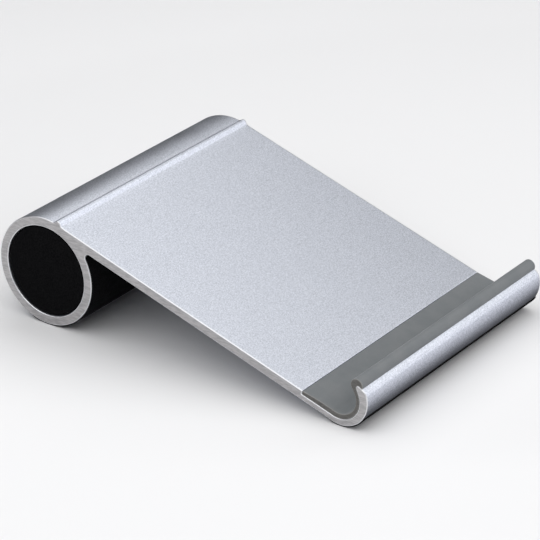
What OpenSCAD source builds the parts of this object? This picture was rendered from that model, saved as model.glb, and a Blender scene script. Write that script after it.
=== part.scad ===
/* [Stand] */
// Width of the stand, along the tube
width = 120; // [90:1:200]
// Thickness of the sloping plate
plate_t = 3.75; // [3:0.25:4.5]
// Distance along the plate from the tube's axis to the hook's centre
reach = 134; // [110:1:180]

/* [Tube] */
// Outside diameter of the rear tube
tube_d = 45; // [42:0.5:50]
// Wall of the tube
tube_wall = 3.75; // [3:0.25:4.5]
// Radius of the fillet between the tube and the plate's underside
web_fillet = 1.8; // [0.8:0.1:2]
// Height of the stop ridge above the plate
ridge_h = 1.5; // [1:0.1:2]
// Width of the stop ridge's flat top
ridge_top = 1; // [0.6:0.1:2]

/* [Front hook] */
// Outside diameter of the hook
hook_d = 24; // [23:0.5:26]
// Height of the hook's centre above the plate
hook_rise = 8; // [7.8:0.1:8.4]
// Diameter of the channel inside the bare metal hook
channel_d = 18; // [17.5:0.1:18.3]
// Direction from the hook's centre at which its outside turns in towards the lip
lip_turn = 32; // [28:1:36]
// Radius of that turn
lip_round = 3; // [2.5:0.1:3.5]
// Radius of the lip's nose
nose_r = 0.85; // [0.6:0.05:1]
// Direction of the nose from the hook's centre
nose_angle = 53; // [51:0.5:55]

/* [Silicone liner] */
// Depth of the recess that seats the liner
recess = 1.5; // [1.2:0.1:1.8]
// Length of the liner's flat part, back from the hook's centre
liner_flat = 14.8; // [12:0.2:24]
// Height of the liner's flat part above the plate
liner_rise = 0.6; // [0.3:0.1:0.8]
// Length of the ramp at the liner's rear edge
liner_ramp = 7.5; // [4:0.5:9]
// Diameter of the groove that holds the tablet's edge
groove_d = 14.3; // [13.8:0.1:14.5]
// Radius of the bead over the lip
bead_r = 2.55; // [2.4:0.05:2.7]
// Play at the liner's rear edge and at its two ends
liner_play = 0.1; // [0.05:0.05:0.3]

/* [Feet] */
// Thickness of the rubber feet
foot_t = 0.3; // [0.3:0.1:1]
// Thickness of the adhesive films
film_t = 0.1; // [0.1:0.05:0.2]
// Distance from the feet to the stand's cut ends
foot_inset = 0.3; // [0.3:0.1:5]
// Where the rear foot ends, past its line of contact
rear_foot_back = 20; // [10:1:60]
// Where the front foot starts, before its line of contact
front_foot_front = 60; // [15:1:60]
// Where the front foot ends, past its line of contact
front_foot_back = 22; // [10:1:24]

/* [Roller] */
// Gap between the roller and the tube's bore
roller_gap = 0.35; // [0.3:0.05:0.6]
// Distance from the roller's ends to the stand's cut ends
roller_inset = 0.5; // [0.3:0.1:2]
// Outside diameter of the roller's core
core_d = 28; // [24:0.5:30]
// Wall of the core
core_wall = 2; // [1.5:0.25:3]
// Thickness of the caps' discs
cap_t = 2; // [1.5:0.25:4]
// Length of the caps' spigots
spigot_l = 8; // [5:0.5:15]
// Chamfer round the caps' rims
cap_edge = 0.4; // [0.2:0.1:0.6]

/* [Hidden] */
$fn = 128;

// Section coordinates: the first runs along the plate from above the tube's axis to the front,
// and the second is the height above the plate's top.
tube_r = tube_d / 2;
bore_r = tube_r - tube_wall;
tube_c = [0, -tube_r];
hook_r = hook_d / 2;
hook_c = [reach, hook_rise];
// Round and flat stretches that would only touch are made to cross by these small amounts
overlap = 0.05;
graze = 0.02;
spigot_play = 0.05;
arc_step = 10;
clear = 30;
saw_room = 2;

// The stand rests on the tube's foot and the hook's foot, so its slope is their common tangent's.
centres = hook_c - tube_c;
tilt = atan2(centres[1], centres[0]) + asin((tube_r - hook_r) / norm(centres));
down = tilt - 90;
lift = film_t + foot_t;
span = sqrt(pow(norm(centres), 2) - pow(tube_r - hook_r, 2));
depth = span + tube_r + hook_r;
tube_y = depth / 2 - tube_r;
tube_z = tube_r + lift;

// The stop ridge, seen in section
ridge_front_foot = 3;
ridge_front_knee = [1.75, 0.2];
ridge_back_run = 2.9;

// The fillet between the tube and the plate's underside. The rear foot lines it.
fillet_v = overlap - plate_t - web_fillet;
fillet_c = [sqrt(pow(tube_r + web_fillet - overlap, 2) - pow(fillet_v + tube_r, 2)), fillet_v];
fillet_end = direction(fillet_c, tube_c) + 360;
foot_fillet_r = web_fillet - overlap - film_t - foot_t;
// Degrees by which the rear foot's two sections cross where the fillet meets the tube
foot_lap = 0.2;

// The channel in the bare metal
channel_r = channel_d / 2;
channel_c = [reach - 0.4, channel_r - recess - overlap];
recess_u = reach - liner_flat;

// The lip: its outside turns in, slopes to a rounded nose, and runs down into the channel
turn_c = hook_c + (hook_r - lip_round + graze) * heading(lip_turn);
nose_reach = 9.5;
nose_c = hook_c + nose_reach * heading(nose_angle);
slope_angle = outer_tangent(nose_c, nose_r, turn_c, lip_round);
inner_angle = cross_tangent(channel_c, channel_r, nose_c, nose_r);

// The liner's groove and bead
liner_u = recess_u + liner_play;
groove_r = groove_d / 2;
groove_c = [reach - 0.2, groove_r + liner_rise - overlap];
bead_reach = 9.6;
bead_angle = 60;
bead_c = hook_c + bead_reach * heading(bead_angle);
bead_tangent = cross_tangent(groove_c, groove_r, bead_c, bead_r);
// The silicone is drawn a little into the metal, which is then cut from it
liner_bite = plate_t / 4;
liner_bite_arc = [-80, 45];
// The film keeps clear of the liner's rear edge and of the channel's round bottom
film_margins = [0.5, 1];
liner_film_u = [liner_u + film_margins[0], channel_c[0] - film_margins[1]];

// The roller
sleeve_r = bore_r - roller_gap;
core_r = core_d / 2;
core_bore_r = core_r - core_wall;
core_l = width - 2 * (roller_inset + cap_t);

aluminium = [0.80, 0.81, 0.83];
silicone = [0.43, 0.45, 0.46];
black_rubber = [0.05, 0.05, 0.055];
film = [0.09, 0.09, 0.1];

function heading(a) = [cos(a), sin(a)];
function direction(a, b) = atan2(b[1] - a[1], b[0] - a[0]);
// Where a straight line that passes between two circles touches the first
function cross_tangent(a, ra, b, rb) = direction(a, b) - acos((ra + rb) / norm(b - a));
// Where a straight line over the outside of two circles touches both
function outer_tangent(a, ra, b, rb) = direction(a, b) + acos((ra - rb) / norm(b - a));
function arc(c, r, from, to) = let (n = ceil(abs(to - from) / arc_step))
  [for (i = [0:n]) c + r * heading(from + (to - from) * i / n)];

// Stands a section up on the desk and extrudes it along the tube
module extrude_section(length) {
  translate([-length / 2, tube_y, tube_z])
    rotate([90, 0, 90])
      linear_extrude(length)
        rotate(tilt)
          mirror([1, 0])
            translate([0, tube_r])
              children();
}

// Lies a solid of revolution along the tube's axis
module along_tube() {
  translate([0, tube_y, tube_z])
    rotate([0, 90, 0])
      children();
}

module plate_section() {
  polygon([
    [-ridge_top / 2 - ridge_back_run, -ridge_h],
    [-ridge_top / 2, ridge_h],
    [ridge_top / 2, ridge_h],
    ridge_front_knee,
    [ridge_front_foot, 0],
    [reach, 0],
    [reach, -plate_t],
    [tube_r / 2, -plate_t],
    [0, -tube_wall / 2]
  ]);
}

// Fills the sharp corner between the tube and the plate's underside
module web_section() {
  polygon(concat(
    arc(fillet_c, web_fillet, 90, fillet_end),
    [(tube_r - tube_wall / 2) * heading(direction(tube_c, fillet_c)) + tube_c],
    [[tube_r / 2, -plate_t / 2], [fillet_c[0], -plate_t / 2]]
  ));
}

// The recess and the hook's open side, up to the lip's inside, nose and outside
module mouth_section() {
  polygon(concat(
    [[recess_u, clear], [recess_u, -recess], [channel_c[0], -recess], channel_c],
    [channel_c + (channel_r - graze) * heading(inner_angle)],
    arc(nose_c, nose_r, inner_angle + 180, slope_angle),
    arc(turn_c, lip_round, slope_angle, lip_turn),
    [hook_c + clear * heading(lip_turn)]
  ));
}

module disc_section(c, r) {
  translate(c)
    circle(r);
}

// The bare extrusion, cut to a length
module bare_metal(length) {
  difference() {
    union() {
      extrude_section(length)
        disc_section(tube_c, tube_r);
      extrude_section(length)
        plate_section();
      extrude_section(length)
        web_section();
      extrude_section(length)
        disc_section(hook_c, hook_r);
    }
    extrude_section(length + saw_room)
      disc_section(tube_c, bore_r);
    extrude_section(length + saw_room)
      disc_section(channel_c, channel_r);
    extrude_section(length + saw_room)
      mouth_section();
  }
}

module liner_tape_block() {
  extrude_section(width - 2 * foot_inset)
    translate([liner_film_u[0], -recess])
      square([liner_film_u[1] - liner_film_u[0], film_t]);
}

// The silicone between the metal and the tablet, before the bead is added
module liner_band_section() {
  difference() {
    polygon(concat(
      [[liner_u, bead_c[1]], [liner_u, -recess], [reach, -recess - liner_bite]],
      arc(channel_c, channel_r + liner_bite, liner_bite_arc[0], liner_bite_arc[1]),
      [nose_c, bead_c]
    ));
    disc_section(groove_c, groove_r);
    polygon([
      [liner_u - saw_room, 0],
      [liner_u, 0],
      [liner_u + liner_ramp, liner_rise],
      [groove_c[0], liner_rise],
      groove_c,
      groove_c + groove_r * heading(bead_tangent),
      bead_c - bead_r * heading(bead_tangent),
      bead_c,
      bead_c + [0, clear],
      [liner_u - saw_room, clear]
    ]);
  }
}

// A curved layer on a round face, between two directions
module layer_section(c, r, t, from, to) {
  edge = r + 2 * t;
  translate(c)
    intersection() {
      difference() {
        circle(r + t);
        circle(r);
      }
      polygon(concat([[0, 0]], arc([0, 0], edge / cos(arc_step / 2), from, to)));
    }
}

module rear_layer(r, t) {
  extrude_section(width - 2 * foot_inset)
    layer_section(tube_c, r, t, down - rear_foot_back, direction(tube_c, fillet_c) + foot_lap);
}

module front_layer(r, t) {
  extrude_section(width - 2 * foot_inset)
    layer_section(hook_c, r, t, down - front_foot_back, down + front_foot_front);
}

module stand_body() {
  color(aluminium)
    bare_metal(width);
}

module lip_liner() {
  color(silicone)
    difference() {
      union() {
        extrude_section(width - 2 * liner_play)
          liner_band_section();
        extrude_section(width - 2 * liner_play)
          disc_section(bead_c, bead_r);
      }
      bare_metal(width);
      liner_tape_block();
    }
}

module liner_tape() {
  color(film)
    liner_tape_block();
}

module rear_foot_pad() {
  color(black_rubber) {
    rear_layer(tube_r + film_t, foot_t);
    extrude_section(width - 2 * foot_inset)
      layer_section(fillet_c, foot_fillet_r, foot_t, 90, fillet_end);
  }
}

module rear_foot_tape() {
  color(film)
    rear_layer(tube_r, film_t);
}

module front_foot_strip() {
  color(black_rubber)
    front_layer(hook_r + film_t, foot_t);
}

module front_foot_tape() {
  color(film)
    front_layer(hook_r, film_t);
}

module roller_core() {
  color(aluminium)
    along_tube()
      difference() {
        cylinder(h = core_l, r = core_r, center = true);
        cylinder(h = core_l + saw_room, r = core_bore_r, center = true);
      }
}

module roller_sleeve() {
  color(black_rubber)
    along_tube()
      difference() {
        cylinder(h = core_l, r = sleeve_r, center = true);
        cylinder(h = core_l + saw_room, r = core_r, center = true);
      }
}

// A disc with a chamfered rim, and a spigot that plugs into the core
module roller_cap() {
  color(black_rubber)
    along_tube()
      translate([0, 0, core_l / 2]) {
        cylinder(h = cap_t - cap_edge, r = sleeve_r);
        translate([0, 0, cap_t - cap_edge])
          cylinder(h = cap_edge, r1 = sleeve_r, r2 = sleeve_r - cap_edge);
        translate([0, 0, -spigot_l])
          cylinder(h = spigot_l + cap_t / 2, r = core_bore_r - spigot_play);
      }
}

module roller_cap_right() {
  roller_cap();
}

module roller_cap_left() {
  mirror([1, 0, 0])
    roller_cap();
}

stand_body();
lip_liner();
liner_tape();
rear_foot_pad();
rear_foot_tape();
front_foot_strip();
front_foot_tape();
roller_core();
roller_sleeve();
roller_cap_left();
roller_cap_right();
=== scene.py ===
"""The looks of a tablet stand: a bead-blasted aluminium extrusion with a silicone-lined front hook,
and a black roller stored in its rear tube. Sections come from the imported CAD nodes."""

from math import atan2, cos, pi, radians, sin, tan

import bmesh
import bpy
from mathutils import Matrix, Vector
from mathutils.geometry import tessellate_polygon


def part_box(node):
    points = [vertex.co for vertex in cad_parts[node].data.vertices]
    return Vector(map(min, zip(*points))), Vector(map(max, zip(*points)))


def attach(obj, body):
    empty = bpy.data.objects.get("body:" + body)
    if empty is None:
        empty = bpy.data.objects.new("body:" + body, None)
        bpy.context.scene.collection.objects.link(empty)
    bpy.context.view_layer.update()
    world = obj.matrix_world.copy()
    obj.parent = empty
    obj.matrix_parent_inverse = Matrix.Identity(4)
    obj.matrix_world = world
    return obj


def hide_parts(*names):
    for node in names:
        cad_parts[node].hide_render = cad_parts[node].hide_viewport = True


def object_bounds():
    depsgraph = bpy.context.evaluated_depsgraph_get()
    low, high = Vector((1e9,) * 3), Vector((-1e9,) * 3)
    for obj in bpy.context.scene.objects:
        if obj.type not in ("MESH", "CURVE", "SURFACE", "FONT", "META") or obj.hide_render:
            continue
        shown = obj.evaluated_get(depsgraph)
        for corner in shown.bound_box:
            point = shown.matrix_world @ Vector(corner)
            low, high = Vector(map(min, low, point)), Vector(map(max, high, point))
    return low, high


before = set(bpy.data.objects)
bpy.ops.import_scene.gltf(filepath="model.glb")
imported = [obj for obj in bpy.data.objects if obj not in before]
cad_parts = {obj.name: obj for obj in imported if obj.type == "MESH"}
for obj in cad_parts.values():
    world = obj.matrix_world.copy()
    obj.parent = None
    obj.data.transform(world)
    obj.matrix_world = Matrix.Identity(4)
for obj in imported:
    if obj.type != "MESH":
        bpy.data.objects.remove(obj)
cad_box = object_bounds()

MM = 0.001
WELD_DIGITS = 7

# ---------------------------------------------------------------- camera, floor and lights

VIEW_AZIMUTH = radians(-54.32)
VIEW_ELEVATION = radians(26.42)
VIEW_DISTANCE = 1.12
LENS = 193.5
SENSOR = 36.0
CLIP_START = 0.05
# From the middle of the CAD box to the point that the camera looks at
AIM_OFFSET = Vector((-4.9, -3.2, -2.52)) * MM

FLOOR_REACH = 6
# Under the object, the metal mirrors the floor only from here back
FRONT_SHADE = -60 * MM

# One corner of each softbox, its two edges from there, and its radiance
SOFTBOXES = {
    "ceiling_softbox": ((-0.5, 0.72, 0.6), (1.22, 0, 0), (0, -1.44, 0), 1.38),
    "front_softbox": ((-0.4, -0.72, 0.6), (1.5, 0, 0), (0, 0, -0.6), 0.62),
    "corner_softbox": ((0.72, -0.25, 0.6), (0.38, 0, 0), (0, -0.47, 0), 2.2),
    "left_softbox": ((-1.0, 0.5, 0.6), (0.6, 0, 0), (0, -1.0, 0), 1.6),
}

# The surroundings' two glows: where each is centred, and its level by the cosine to that direction
FRONT_GLOW = (0.5, -0.86, 0)
FRONT_LEVELS = {0.0: 0.01, 0.45: 0.02, 0.6: 0.08, 0.72: 0.24, 0.82: 0.52, 0.95: 1.0, 1.0: 1.35}
LEFT_GLOW = (-1, 0.3, 0)
LEFT_LEVELS = {0.1: 0.0, 0.9: 0.4}
GLOW_BLUENESS = 1.04


def direction(azimuth, elevation):
    """The unit vector from the object to where azimuth and elevation look at it from."""
    return Vector((
        sin(azimuth) * cos(elevation),
        -cos(azimuth) * cos(elevation),
        sin(elevation),
    ))


def middle():
    low, high = (Vector(corner) for corner in cad_box)
    return (low + high) / 2


def add_camera():
    data = bpy.data.cameras.new("camera")
    data.lens = LENS
    data.sensor_width = SENSOR
    data.clip_start = CLIP_START
    camera = bpy.data.objects.new("camera", data)
    bpy.context.scene.collection.objects.link(camera)
    target = middle() + AIM_OFFSET
    camera.location = target + direction(VIEW_AZIMUTH, VIEW_ELEVATION) * VIEW_DISTANCE
    camera.rotation_euler = (target - camera.location).to_track_quat("-Z", "Y").to_euler()
    bpy.context.scene.camera = camera


def add_softbox(name, corner, across, along, radiance):
    """A rectangle of light from a corner along two edges. It shines to the side of across x along."""
    data = bpy.data.lights.new(name, "AREA")
    data.shape = "RECTANGLE"
    data.size, data.size_y = across.length, along.length
    data.energy = radiance * pi * across.length * along.length
    light = bpy.data.objects.new(name, data)
    bpy.context.scene.collection.objects.link(light)
    x, y = across.normalized(), along.normalized()
    z = -x.cross(y)
    light.matrix_world = Matrix((x, -y, z)).transposed().to_4x4()
    light.location = corner + (across + along) / 2
    light.visible_camera = False


def add_lights():
    """A ceiling and a front softbox, a brighter one off the ceiling's front right corner, and one on
    the left."""
    for name, (corner, across, along, radiance) in SOFTBOXES.items():
        add_softbox(name, Vector(corner), Vector(across), Vector(along), radiance)


def world_glow(tree, towards, stops):
    """A soft glow of the surroundings: stops give its level by the cosine to its middle."""
    coords = tree.nodes.new("ShaderNodeTexCoord")
    cosine = tree.nodes.new("ShaderNodeVectorMath")
    cosine.operation = "DOT_PRODUCT"
    cosine.inputs[1].default_value = Vector(towards).normalized()
    tree.links.new(coords.outputs["Generated"], cosine.inputs[0])
    share = tree.nodes.new("ShaderNodeMapRange")
    share.inputs["From Min"].default_value = -1
    tree.links.new(cosine.outputs["Value"], share.inputs["Value"])
    ramp = tree.nodes.new("ShaderNodeValToRGB")
    tree.links.new(share.outputs["Result"], ramp.inputs["Fac"])
    elements = ramp.color_ramp.elements
    while len(elements) < len(stops):
        elements.new(0.5)
    for element, (at, level) in zip(elements, stops.items()):
        element.position = (at + 1) / 2
        element.color = (level, level, level * GLOW_BLUENESS, 1)
    return ramp.outputs["Color"]


def add_world():
    """Soft surroundings: brightest at the horizon in front, fainter on the left, and dark behind."""
    world = bpy.data.worlds.new("studio")
    bpy.context.scene.world = world
    world.use_nodes = True
    tree = world.node_tree
    front = world_glow(tree, FRONT_GLOW, FRONT_LEVELS)
    left = world_glow(tree, LEFT_GLOW, LEFT_LEVELS)
    both = tree.nodes.new("ShaderNodeVectorMath")
    both.operation = "ADD"
    tree.links.new(front, both.inputs[0])
    tree.links.new(left, both.inputs[1])
    tree.links.new(both.outputs["Vector"], tree.nodes["Background"].inputs["Color"])


def add_floor_part(name, cells, material, mirrored):
    """Part of the flat floor, from cells of (left, front, right, back)."""
    bm = bmesh.new()
    for left, front, right, back in cells:
        corners = [(left, front, 0), (right, front, 0), (right, back, 0), (left, back, 0)]
        bm.faces.new([bm.verts.new(corner) for corner in corners])
    mesh = bpy.data.meshes.new(name)
    bm.to_mesh(mesh)
    bm.free()
    mesh.materials.append(material)
    floor = bpy.data.objects.new(name, mesh)
    bpy.context.scene.collection.objects.link(floor)
    floor.visible_glossy = mirrored


def add_floor():
    """Reflections show the floor on the object's left and the shaded floor under it, but not the rest."""
    reach = FLOOR_REACH
    left, right = cad_box[0][0], cad_box[1][0]
    front, back = FRONT_SHADE, cad_box[1][1]
    material = floor_material()
    add_floor_part("floor_mirrored", [
        (-reach, -reach, left, reach),
        (left, front, right, back),
    ], material, True)
    add_floor_part("floor_around", [
        (left, -reach, reach, front),
        (left, back, reach, reach),
        (right, front, reach, back),
    ], material, False)


# ---------------------------------------------------------------- materials


# The stretch of a noise's values that a number is spread over, and that a colour blend is
NOISE_RANGE = (0.3, 0.7)
BLEND_RANGE = (0.4, 0.6)


class Shader:
    """A Principled material, with short ways to add the nodes that these materials share."""

    def __init__(self, name, colour, roughness, metallic=0.0, specular=0.5):
        self.material = bpy.data.materials.new(name)
        self.material.use_nodes = True
        self.tree = self.material.node_tree
        self.bsdf = self.tree.nodes["Principled BSDF"]
        self.set("Base Color", (*colour, 1))
        self.set("Roughness", roughness)
        self.set("Metallic", metallic)
        self.set("Specular IOR Level", specular)
        self.coords = self.tree.nodes.new("ShaderNodeTexCoord").outputs["Object"]

    def set(self, socket, value):
        self.bsdf.inputs[socket].default_value = value

    def link(self, output, socket):
        self.tree.links.new(output, self.bsdf.inputs[socket])

    def scaled(self, x, y, z):
        """The piece's own coordinates, stretched."""
        mapping = self.tree.nodes.new("ShaderNodeMapping")
        mapping.inputs["Scale"].default_value = (x, y, z)
        self.tree.links.new(self.coords, mapping.inputs["Vector"])
        return mapping.outputs["Vector"]

    def noise(self, size, detail, roughness=0.5, coords=None):
        """A noise whose blotches are about size metres wide, from 0 to 1."""
        node = self.tree.nodes.new("ShaderNodeTexNoise")
        node.inputs["Scale"].default_value = 1 / size
        node.inputs["Detail"].default_value = detail
        node.inputs["Roughness"].default_value = roughness
        self.tree.links.new(coords or self.coords, node.inputs["Vector"])
        return node.outputs["Fac"]

    def ranged(self, value, low, high):
        node = self.tree.nodes.new("ShaderNodeMapRange")
        node.inputs["From Min"].default_value = NOISE_RANGE[0]
        node.inputs["From Max"].default_value = NOISE_RANGE[1]
        node.inputs["To Min"].default_value = low
        node.inputs["To Max"].default_value = high
        self.tree.links.new(value, node.inputs["Value"])
        return node.outputs["Result"]

    def blend_colours(self, value, dark, light):
        ramp = self.tree.nodes.new("ShaderNodeValToRGB")
        ramp.color_ramp.elements[0].position = BLEND_RANGE[0]
        ramp.color_ramp.elements[0].color = (*dark, 1)
        ramp.color_ramp.elements[1].position = BLEND_RANGE[1]
        ramp.color_ramp.elements[1].color = (*light, 1)
        self.tree.links.new(value, ramp.inputs["Fac"])
        return ramp.outputs["Color"]

    def bump(self, height, depth, strength, under=None):
        node = self.tree.nodes.new("ShaderNodeBump")
        node.inputs["Strength"].default_value = strength
        node.inputs["Distance"].default_value = depth
        self.tree.links.new(height, node.inputs["Height"])
        if under:
            self.tree.links.new(under, node.inputs["Normal"])
        return node.outputs["Normal"]


def blasted_aluminium():
    """Clear anodised aluminium with a fine bead-blasted grain and faint cloudiness."""
    shader = Shader("blasted_aluminium", (0.62, 0.645, 0.69), 0.42, metallic=1.0)
    grain = shader.noise(0.5 * MM, 6, 0.8)
    clouds = shader.noise(14 * MM, 3)
    shader.link(shader.blend_colours(grain, (0.46, 0.485, 0.54), (0.75, 0.775, 0.845)), "Base Color")
    shader.link(shader.ranged(clouds, 0.40, 0.44), "Roughness")
    fine = shader.bump(grain, 0.02 * MM, 0.55)
    shader.link(shader.bump(shader.noise(0.2 * MM, 1), 0.01 * MM, 0.4, fine), "Normal")
    return shader.material


def edge_aluminium_painted_highlight():
    """The cut ends' rounded edges: polished, and brighter in colour than the blasted faces, which is a
    painted highlight along them.
    """
    shader = Shader("edge_aluminium_painted_highlight", (0.76, 0.77, 0.79), 0.34, metallic=1.0)
    grain = shader.noise(0.3 * MM, 2)
    shader.link(shader.ranged(grain, 0.3, 0.4), "Roughness")
    shader.link(shader.blend_colours(grain, (0.72, 0.73, 0.75), (0.8, 0.81, 0.83)), "Base Color")
    return shader.material


def cut_aluminium_painted_shade():
    """The sawn and lightly blasted ends, faintly streaked along the cut. Their darker colour is painted
    shade.
    """
    shader = Shader("cut_aluminium_painted_shade", (0.5, 0.49, 0.5), 0.45, metallic=1.0)
    streaks = shader.noise(0.9 * MM, 3, 0.6, shader.scaled(1, 0.25, 1.6))
    grain = shader.noise(0.3 * MM, 2)
    shader.link(shader.blend_colours(streaks, (0.38, 0.375, 0.38), (0.52, 0.51, 0.515)), "Base Color")
    shader.link(shader.ranged(streaks, 0.38, 0.5), "Roughness")
    shader.link(shader.bump(grain, 0.012 * MM, 0.5), "Normal")
    return shader.material


def drawn_aluminium():
    """Plain drawn tube, with die lines along it."""
    shader = Shader("drawn_aluminium", (0.6, 0.6, 0.6), 0.3, metallic=1.0)
    lines = shader.noise(0.5 * MM, 3, 0.6, shader.scaled(0.02, 1, 1))
    shader.link(shader.ranged(lines, 0.24, 0.42), "Roughness")
    shader.link(shader.bump(lines, 0.01 * MM, 0.5), "Normal")
    return shader.material


def grey_silicone():
    shader = Shader("grey_silicone", (0.143, 0.154, 0.16), 0.55, specular=0.4)
    clouds = shader.noise(9 * MM, 4)
    grain = shader.noise(0.35 * MM, 2)
    shader.link(shader.blend_colours(clouds, (0.135, 0.147, 0.154), (0.152, 0.162, 0.168)), "Base Color")
    shader.link(shader.ranged(grain, 0.48, 0.64), "Roughness")
    shader.link(shader.bump(grain, 0.02 * MM, 0.35), "Normal")
    shader.set("Sheen Weight", 0.15)
    shader.set("Sheen Roughness", 0.5)
    return shader.material


def edge_silicone_painted_highlight():
    """The liner's trimmed edges: glossier than its faces, and paler, which is a painted highlight along
    them.
    """
    shader = Shader("edge_silicone_painted_highlight", (0.2, 0.2, 0.195), 0.4, specular=0.5)
    grain = shader.noise(0.5 * MM, 2)
    shader.link(shader.blend_colours(grain, (0.19, 0.19, 0.185), (0.22, 0.22, 0.212)), "Base Color")
    shader.link(shader.ranged(grain, 0.35, 0.45), "Roughness")
    return shader.material


def cut_silicone_painted_shade():
    """The liner's sawn ends, warmer than its faces and with faint saw streaks. Their darker colour is
    painted shade.
    """
    shader = Shader("cut_silicone_painted_shade", (0.1, 0.095, 0.088), 0.6, specular=0.3)
    streaks = shader.noise(0.7 * MM, 3, 0.6, shader.scaled(1, 0.3, 1.5))
    shader.link(shader.blend_colours(streaks, (0.094, 0.092, 0.087), (0.138, 0.134, 0.126)), "Base Color")
    shader.link(shader.ranged(streaks, 0.55, 0.7), "Roughness")
    shader.link(shader.bump(streaks, 0.03 * MM, 0.4), "Normal")
    return shader.material


def black_rubber(name, pore, dark, light):
    """Matte black rubber, whose pores are about pore metres wide."""
    shader = Shader(name, dark, 0.85, specular=0.04)
    pores = shader.noise(pore, 3, 0.7)
    dust = shader.noise(6 * MM, 3)
    shader.link(shader.blend_colours(pores, dark, light), "Base Color")
    shader.link(shader.ranged(dust, 0.78, 0.92), "Roughness")
    shader.link(shader.bump(pores, 0.12 * MM, 0.6), "Normal")
    return shader.material


def adhesive_film():
    shader = Shader("adhesive_film", (0.012, 0.012, 0.013), 0.5)
    fibres = shader.noise(0.6 * MM, 3)
    shader.link(shader.blend_colours(fibres, (0.008, 0.008, 0.009), (0.018, 0.018, 0.02)), "Base Color")
    shader.link(shader.ranged(fibres, 0.42, 0.58), "Roughness")
    return shader.material


def floor_material():
    shader = Shader("pale_floor", (0.8, 0.8, 0.805), 0.7, specular=0.2)
    shader.link(shader.ranged(shader.noise(0.12, 2), 0.66, 0.74), "Roughness")
    return shader.material


# ---------------------------------------------------------------- sections, taken from the CAD nodes


# Edges shorter than this are slivers, and ends nearer than twice this meet
GAP = 0.01 * MM
# A face is on the end plane if its corners are this near to it
ON_END = GAP / 10
# An outline that turns less than the first is straight, and more than the second is a sharp corner
STRAIGHT = radians(0.2)
SHARP = radians(16)
# Sides longer than this are flats, and shorter ones are stretches of a curve
LONG_SIDE = 4 * MM
# The spacing of the points on a curve and round a corner
CURVE_STEP = 0.4 * MM
BEND_STEP = radians(12)
# A flat's extra points are at most this far from its ends
HOLD = 0.12 * MM
# The radius of an inside corner's rounding
CREASE = 0.08 * MM
# The share of a side that a corner's rounding may take
CORNER_ROOM = 0.4


def end_outlines(node):
    """The closed outlines of an extruded node's left end, as lists of (y, z). The material is on
    their left."""
    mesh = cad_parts[node].data
    end_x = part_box(node)[0].x
    points = {}

    def key(vertex):
        name = (round(vertex.co.y, WELD_DIGITS), round(vertex.co.z, WELD_DIGITS))
        points[name] = Vector((vertex.co.y, vertex.co.z))
        return name

    edges = set()
    for face in mesh.polygons:
        corners = [mesh.vertices[i] for i in face.vertices]
        if all(abs(c.co.x - end_x) < ON_END for c in corners):
            names = [key(c) for c in corners]
            # The left end faces -X, so its faces run clockwise seen from +X.
            edges |= set(zip(names[1:] + names[:1], names))
    rim = [(points[a], points[b]) for a, b in sorted(edges) if (b, a) not in edges]
    rim = [(a, b) for a, b in rim if (b - a).length > GAP]
    outlines = []
    while rim:
        start, end = rim.pop(0)
        outline = [start]
        while rim and (end - start).length > 2 * GAP:
            outline.append(end)
            nearest = min(range(len(rim)), key=lambda i: (rim[i][0] - end).length)
            end = rim.pop(nearest)[1]
        outlines.append(outline)
    return sorted(outlines, key=len, reverse=True)


def turn(before, at, after):
    """How far an outline turns at a point: positive to the left."""
    a, b = at - before, after - at
    return atan2(a.x * b.y - a.y * b.x, a.dot(b))


def neighbours(points):
    return zip(points[-1:] + points[:-1], points, points[1:] + points[:1])


def without_straight_points(points):
    return [p for before, p, after in neighbours(points) if abs(turn(before, p, after)) > STRAIGHT]


def heading_at(points, index):
    """Which way an outline runs through a point of a curve. A long straight side keeps its own way."""
    before, at, after = points[index - 1], points[index], points[(index + 1) % len(points)]
    a, b = at - before, after - at
    if a.length > LONG_SIDE or b.length > LONG_SIDE:
        return (a if a.length > b.length else b).normalized()
    return (a.normalized() + b.normalized()).normalized()


def curve(start, start_way, end, end_way):
    """Points from start to just before end, on a smooth curve that leaves and arrives by the given ways."""
    length = (end - start).length
    steps = max(1, round(length / CURVE_STEP))
    points = []
    for i in range(steps):
        t = i / steps
        points.append(
            start * (2 * t ** 3 - 3 * t ** 2 + 1) + start_way * length * (t ** 3 - 2 * t ** 2 + t)
            + end * (3 * t ** 2 - 2 * t ** 3) + end_way * length * (t ** 3 - t ** 2)
        )
    return points


def finished(points, corner):
    """The outline with its outside corners rounded by corner, and its curves drawn smooth.
    Straight sides get extra points near their ends, so that they shade flat."""
    count = len(points)
    turns = [turn(before, at, after) for before, at, after in neighbours(points)]
    result = []
    for i in range(count):
        before, at, after = points[i - 1], points[i], points[(i + 1) % count]
        j = (i + 1) % count
        sharp, next_sharp = abs(turns[i]) > SHARP, abs(turns[j]) > SHARP
        side = after - at
        way = side.normalized()
        start, end = at, after
        if sharp:
            cut = corner_cut(before, at, after, turns[i], corner)
            start = at + way * cut
            bend_start = at + (before - at).normalized() * cut
            steps = max(2, round(abs(turns[i]) / BEND_STEP))
            for k in range(steps):
                t = k / steps
                result.append(bend_start * (1 - t) ** 2 + at * 2 * t * (1 - t) + start * t ** 2)
        if next_sharp:
            beyond = points[(j + 1) % count]
            end = after - way * corner_cut(at, after, beyond, turns[j], corner)
        if side.length > LONG_SIDE or (sharp and next_sharp):
            hold = min(HOLD, (end - start).length / 3)
            result += [start, start + way * hold, end - way * hold]
        else:
            leaving = way if sharp else heading_at(points, i)
            arriving = way if next_sharp else heading_at(points, j)
            result += curve(start, leaving, end, arriving)
    return result


def corner_cut(before, at, after, angle, corner):
    """How far from a sharp corner its rounding starts."""
    radius = corner if angle > 0 else CREASE
    room = CORNER_ROOM * min((at - before).length, (after - at).length)
    return min(radius * tan(abs(angle) / 2), room)


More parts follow.
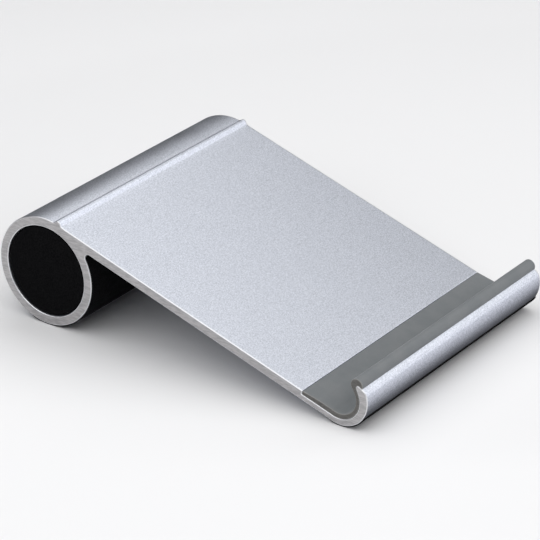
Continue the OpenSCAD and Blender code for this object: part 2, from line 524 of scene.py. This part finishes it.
def inset(points, depth):
    """The outline moved into the material by depth."""
    result = []
    for before, at, after in neighbours(points):
        a, b = (at - before).normalized(), (after - at).normalized()
        left_a, left_b = Vector((-a.y, a.x)), Vector((-b.y, b.x))
        result.append(at + (left_a + left_b) * (depth / (1 + left_a.dot(left_b))))
    return result


# ---------------------------------------------------------------- pieces


# Rounding along an extruded piece's corners, and round the edges of its ends
STAND_CORNER = 0.45 * MM
STAND_EDGE = 0.34 * MM
LINER_CORNER = 0.3 * MM
LINER_EDGE = 0.25 * MM
FOOT_CORNER = 0.08 * MM
FOOT_EDGE = 0.08 * MM
END_STEPS = 3
# A ring this far from an end's rounding keeps the sides shading flat
END_HOLD = 0.15 * MM

RIM_STEPS = 4
LATHE_SEGMENTS = 160
SPIGOT_PLAY = 0.05 * MM


def finish_piece(name, bm, materials, body, replaced):
    bmesh.ops.recalc_face_normals(bm, faces=bm.faces)
    mesh = bpy.data.meshes.new(name)
    bm.to_mesh(mesh)
    bm.free()
    for material in materials:
        mesh.materials.append(material)
    piece = bpy.data.objects.new(name, mesh)
    bpy.context.scene.collection.objects.link(piece)
    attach(piece, body)
    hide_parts(replaced)


def end_rings(half, edge):
    """(x, inset) of the rings along an extrusion whose end edges are rounded by edge."""
    left = []
    for i in range(END_STEPS + 1):
        angle = pi / 2 * i / END_STEPS
        left.append((-half + edge * (1 - cos(angle)), edge * (1 - sin(angle))))
    left.append((left[-1][0] + END_HOLD, 0.0))
    return left + [(-x, depth) for x, depth in reversed(left)]


def extrusion(name, node, corner, edge, materials, body):
    """An extruded node again, with rounded corners along it and rounded edges at its ends.
    The materials are those of its sides, its end edges and its ends."""
    low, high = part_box(node)
    centre, half = (low.x + high.x) / 2, (high.x - low.x) / 2
    outlines = [
        finished(without_straight_points(points), corner)
        for points in end_outlines(node)
    ]
    bm = bmesh.new()
    rings = end_rings(half, edge)
    ends = {0: [], len(rings) - 1: []}
    for points in outlines:
        previous, previous_depth = None, 0
        for index, (x, depth) in enumerate(rings):
            ring = [bm.verts.new((centre + x, p.x, p.y)) for p in inset(points, depth)]
            if previous:
                for i in range(len(ring)):
                    j = (i + 1) % len(ring)
                    face = bm.faces.new((previous[i], previous[j], ring[j], ring[i]))
                    face.smooth = True
                    face.material_index = 0 if depth == previous_depth else 1
            if index in ends:
                ends[index].append(ring)
            previous, previous_depth = ring, depth
    for loops in ends.values():
        flat = [vertex for loop in loops for vertex in loop]
        triangles = tessellate_polygon([[vertex.co for vertex in loop] for loop in loops])
        for triangle in triangles:
            face = bm.faces.new([flat[i] for i in triangle])
            face.material_index = 2
    finish_piece(name, bm, materials, body, node)


def arc_profile(x, radius, edge, outwards):
    """(x, radius) points round a rim whose corner would be at x and radius."""
    points = []
    for i in range(RIM_STEPS + 1):
        angle = pi / 2 * i / RIM_STEPS
        points.append((x - outwards * edge * (1 - sin(angle)), radius - edge * (1 - cos(angle))))
    return points


def lathe(name, node, profile, material):
    """A piece of the roller turned about its axis, from a closed profile of (x, radius)."""
    low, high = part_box(node)
    centre_y, centre_z = (low.y + high.y) / 2, (low.z + high.z) / 2
    bm = bmesh.new()
    segments = LATHE_SEGMENTS
    angles = [2 * pi * i / segments for i in range(segments)]
    rings = []
    for x, radius in profile:
        if radius == 0:
            rings.append([bm.verts.new((x, centre_y, centre_z))])
            continue
        rings.append([
            bm.verts.new((x, centre_y + radius * cos(a), centre_z + radius * sin(a))) for a in angles
        ])
    open_ended = profile[0][1] == 0
    for a, b in zip(rings, rings[1:] if open_ended else rings[1:] + rings[:1]):
        for i in range(segments):
            j = (i + 1) % segments
            corners = [a[i % len(a)], a[j % len(a)], b[j % len(b)], b[i % len(b)]]
            face = bm.faces.new(list(dict.fromkeys(corners)))
            face.smooth = True
    finish_piece(name, bm, [material], "roller", node)


def add_stand(faces, edges, ends):
    materials = [faces, edges, ends]
    extrusion("aluminium_extrusion", "stand_body", STAND_CORNER, STAND_EDGE, materials, "stand")


def add_liner(faces, edges, ends):
    materials = [faces, edges, ends]
    extrusion("silicone_liner", "lip_liner", LINER_CORNER, LINER_EDGE, materials, "stand")


def add_feet(rubber):
    for name, node in {"rear_grip_pad": "rear_foot_pad", "front_grip_strip": "front_foot_strip"}.items():
        extrusion(name, node, FOOT_CORNER, FOOT_EDGE, [rubber] * 3, "stand")


def add_sleeve(rubber):
    """The sleeve's ends are rounded where they meet the caps, which leaves a fine seam."""
    low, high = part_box("roller_sleeve")
    radius = (high.z - low.z) / 2
    core_low, core_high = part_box("roller_core")
    inside = (core_high.z - core_low.z) / 2
    edge = 0.3 * MM
    hold = 0.4 * MM
    profile = [(low.x, inside), (low.x, radius - edge - hold)]
    profile += reversed(arc_profile(low.x, radius, edge, -1))
    profile += [(low.x + edge + hold, radius), (high.x - edge - hold, radius)]
    profile += arc_profile(high.x, radius, edge, 1)
    profile += [(high.x, radius - edge - hold), (high.x, inside)]
    lathe("rubber_sleeve", "roller_sleeve", profile, rubber)


def add_cap(side, outwards, rubber):
    """A grained disc with a rounded rim, on a spigot that fits the core's end."""
    node = "roller_cap_" + side
    low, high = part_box(node)
    core_low, core_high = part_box("roller_core")
    radius = (high.z - low.z) / 2
    if outwards > 0:
        face_x, back_x, spigot_x = high.x, core_high.x, low.x
    else:
        face_x, back_x, spigot_x = low.x, core_low.x, high.x
    spigot = core_bore() - SPIGOT_PLAY
    edge = 0.45 * MM
    hold = 0.3 * MM
    profile = [(face_x, 0), (face_x, radius - edge - hold)]
    profile += reversed(arc_profile(face_x, radius, edge, outwards))
    profile += arc_profile(back_x, radius, hold, -outwards)
    profile += [(back_x, spigot + hold), (back_x, spigot), (spigot_x, spigot), (spigot_x, 0)]
    lathe("end_cap_" + side, node, profile, rubber)


def core_bore():
    """The radius of the bore in the roller's core."""
    low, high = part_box("roller_core")
    axis = Vector(((low.y + high.y) / 2, (low.z + high.z) / 2))
    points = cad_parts["roller_core"].data.vertices
    return min((Vector((point.co.y, point.co.z)) - axis).length for point in points)


add_camera()
add_world()
add_lights()
add_floor()

add_stand(blasted_aluminium(), edge_aluminium_painted_highlight(), cut_aluminium_painted_shade())
add_liner(grey_silicone(), edge_silicone_painted_highlight(), cut_silicone_painted_shade())
add_feet(black_rubber("foot_rubber", 0.5 * MM, (0.002, 0.002, 0.0025), (0.008, 0.008, 0.009)))
roller_rubber = black_rubber("roller_rubber", 0.6 * MM, (0.001, 0.001, 0.0015), (0.006, 0.006, 0.0065))
add_sleeve(roller_rubber)
add_cap("left", -1, roller_rubber)
add_cap("right", 1, roller_rubber)

film = adhesive_film()
for cad_node, finish in {
    "liner_tape": film,
    "rear_foot_tape": film,
    "front_foot_tape": film,
    "roller_core": drawn_aluminium(),
}.items():
    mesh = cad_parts[cad_node].data
    mesh.materials.clear()
    mesh.materials.append(finish)

bpy.context.scene.view_settings.view_transform = "Standard"
